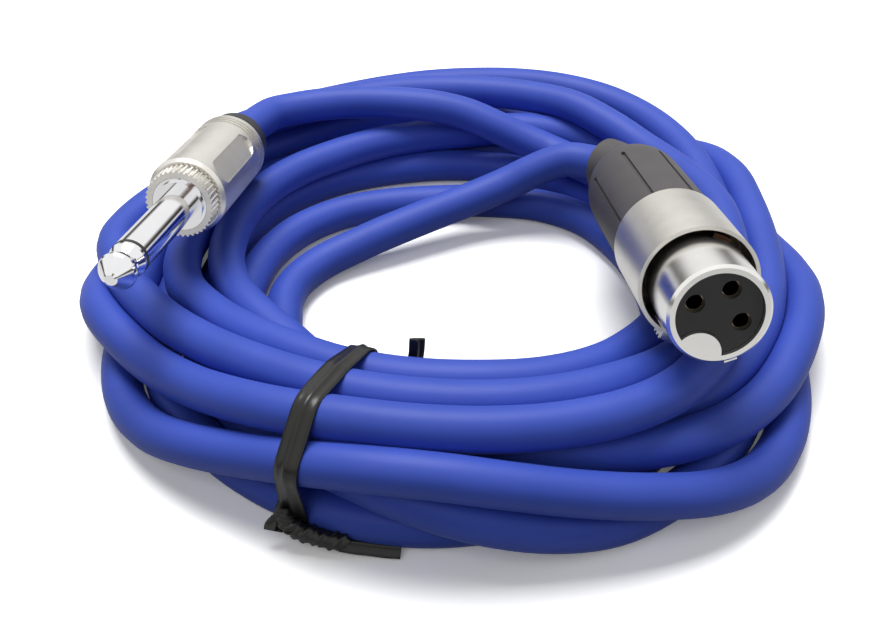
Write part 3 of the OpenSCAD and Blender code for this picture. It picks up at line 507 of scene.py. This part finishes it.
def makeTie(t, ends):
    path, outward, normal = bundleLoop(t)
    lean = [out.normalized() + normal * t["lean"] * math.sin(i * t["leanPace"]) for i, out in enumerate(outward)]
    band = addPiece("twistTieBand", *ribbon(path, lean, t["width"], t["thick"], t["ridge"], True), tiePlastic,
                    slot="tie_plastic")
    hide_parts("twist_tie")
    # the two ends twisted round each other
    w = t["twist"]
    core = smoothLine([Vector(p) for p in t["knot"]], w["steps"])
    for side in (0, 1):
        line, ways = [], []
        for i, p in enumerate(core):
            along = (core[min(i + 1, len(core) - 1)] - core[max(i - 1, 0)]).normalized()
            ex = along.cross(Vector((0, 0, 1))).normalized()
            ey = ex.cross(along)
            wander = w["wander"] * noise.noise(Vector((i * w["wanderPace"], side, 2.2)))
            turn = 2 * math.pi * (w["turns"] * i / len(core) + side / 2) + wander
            out = ex * math.cos(turn) + ey * math.sin(turn)
            swell = 1 + w["swell"] * noise.noise(Vector((i * w["swellPace"], side + 5, 0.7)))
            line.append(p + out * w["radius"] * swell)
            ways.append(out)
        addPiece("twistTieTwist%d" % (side + 1), *ribbon(line, ways, w["width"], w["thick"], w["ridge"], False),
                 tiePlastic, slot="tie_plastic")
    for name, e in ends["pieces"].items():
        line = smoothLine([Vector(p) for p in e["points"]], ends["steps"])
        ways = [Vector(e["out"])] * len(line)
        addPiece("twistTie" + name, *ribbon(line, ways, e["width"], ends["thick"], ends["ridge"], False),
                 tiePlastic, slot="tie_plastic")


makeTie(tie, tieEnds)
print("stage: twist tie")


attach(cord, "root")
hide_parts("cable_coil", "cable_jack_lead", "cable_xlr_lead")


# floor, backdrop, lamps, and dark cards that only reflections show; in metres
studio = dict(floorHalf=3.0, floorSeen=1.35, floorMirrored=0.62, floorBounce=0.18, lift=0.10, world=0.09,
              backdrop=1.0,
              lamps=[("topSoft", (-0.06, 0.2, 0.74), (0, 0, 0), 0.5, 0.42, 6.4),
                     ("frontFill", (-0.25, -0.5, 0.55), (0, 0, 0.01), 0.5, 0.5, 1.1),
                     ("rightFill", (0.55, -0.15, 0.35), (0, 0, 0.02), 0.4, 0.5, 0.5)])
flags = dict(ring=dict(radius=1.1, low=0.0, high=0.30, sides=64, fadeFrom=0.35,
                       tone=(0.05, 0.045, 0.04)),
             front=dict(place=(-0.02, -0.62, 0.48), wide=0.22, tall=0.16, fadeFrom=0.2, fadeTo=0.5,
                        tone=(0.16, 0.10, 0.07)))


def seenDirectly(tree):
    rays = addNode(tree, "ShaderNodeLightPath")
    seen = math2(tree, "MAXIMUM", rays.outputs["Is Camera Ray"], rays.outputs["Is Glossy Ray"])
    return math2(tree, "MAXIMUM", seen, rays.outputs["Is Transmission Ray"])


def makeStudio(s):
    size = s["floorHalf"]
    data = bpy.data.meshes.new("paleFloor")
    corners = [(-size, -size, 0), (size, -size, 0), (size, size, 0), (-size, size, 0)]
    data.from_pydata(corners, [], [(0, 1, 2, 3)])
    floor = bpy.data.objects.new("paleFloor", data)
    bpy.context.collection.objects.link(floor)
    mat = bpy.data.materials.new("paleFloor")
    tree = nodeTree(mat)
    seen = seenDirectly(tree)
    direct = addNode(tree, "ShaderNodeLightPath").outputs["Is Camera Ray"]
    tone = addNode(tree, "ShaderNodeMapRange", {0: seen, 3: s["floorBounce"], 4: s["floorMirrored"]}).outputs[0]
    tone = addNode(tree, "ShaderNodeMix", {0: direct, 2: tone, 3: s["floorSeen"]}).outputs[0]
    base = addNode(tree, "ShaderNodeBsdfDiffuse", {"Color": tone})
    lift = math2(tree, "MULTIPLY", seen, s["lift"])
    glow = addNode(tree, "ShaderNodeEmission", {"Color": (1, 1, 1, 1), "Strength": lift})
    both = addNode(tree, "ShaderNodeAddShader", {0: base.outputs[0], 1: glow.outputs[0]})
    addNode(tree, "ShaderNodeOutputMaterial", {"Surface": both.outputs[0]})
    data.materials.append(mat)
    world = bpy.data.worlds.new("studio")
    bpy.context.scene.world = world
    tree = nodeTree(world)
    strength = addNode(tree, "ShaderNodeMapRange", {0: seenDirectly(tree), 3: s["world"],
                                                   4: s["backdrop"]}).outputs[0]
    sky = addNode(tree, "ShaderNodeBackground", {"Color": (1, 1, 1, 1), "Strength": strength})
    addNode(tree, "ShaderNodeOutputWorld", {"Surface": sky.outputs[0]})
    for name, place, aim, wide, deep, power in s["lamps"]:
        lamp = bpy.data.lights.new(name, "AREA")
        lamp.shape, lamp.size, lamp.size_y, lamp.energy = "RECTANGLE", wide, deep, power
        ob = bpy.data.objects.new(name, lamp)
        ob.location = place
        ob.visible_glossy = name == "topSoft"  # only the overhead light shows in the metal
        ob.rotation_euler = (Vector(aim) - Vector(place)).to_track_quat("-Z", "Y").to_euler()
        bpy.context.collection.objects.link(ob)


def makeFlag(name, verts, faces, tone, fadeFrom, fadeTo):
    # a dark card that only reflections show, fading out towards its top
    data = bpy.data.meshes.new(name)
    data.from_pydata(verts, [], faces)
    card = bpy.data.objects.new(name, data)
    bpy.context.collection.objects.link(card)
    mat = bpy.data.materials.new(name)
    tree = nodeTree(mat)
    place = addNode(tree, "ShaderNodeNewGeometry").outputs["Position"]
    height = addNode(tree, "ShaderNodeSeparateXYZ", {0: place}).outputs["Z"]
    fade = addNode(tree, "ShaderNodeMapRange", {0: height, 1: fadeFrom, 2: fadeTo},
                   interpolation_type="SMOOTHSTEP").outputs[0]
    dark = addNode(tree, "ShaderNodeEmission", {"Color": (*tone, 1), "Strength": 1.0})
    clear = addNode(tree, "ShaderNodeBsdfTransparent")
    both = addNode(tree, "ShaderNodeMixShader", {0: fade, 1: dark.outputs[0], 2: clear.outputs[0]})
    addNode(tree, "ShaderNodeOutputMaterial", {"Surface": both.outputs[0]})
    data.materials.append(mat)
    for kind in ("visible_camera", "visible_diffuse", "visible_shadow", "visible_transmission"):
        setattr(card, kind, False)


def makeFlags(f):
    r = f["ring"]
    n = r["sides"]
    verts = [(r["radius"] * math.cos(2 * math.pi * k / n), r["radius"] * math.sin(2 * math.pi * k / n), z)
             for z in (r["low"], r["high"]) for k in range(n)]
    faces = [(k, (k + 1) % n, n + (k + 1) % n, n + k) for k in range(n)]
    makeFlag("horizonFlag", verts, faces, r["tone"], r["high"] * r["fadeFrom"], r["high"])
    c = f["front"]
    x, y, z = c["place"]
    verts = [(x + i * c["wide"] / 2, y, z + k * c["tall"] / 2) for i, k in ((-1, -1), (1, -1), (1, 1), (-1, 1))]
    makeFlag("frontFlag", verts, [(0, 1, 2, 3)], c["tone"], z + c["tall"] * c["fadeFrom"], z + c["tall"] * c["fadeTo"])


makeStudio(studio)
makeFlags(flags)
bpy.context.scene.view_settings.view_transform = "Standard"
print("stage: floor and lights")
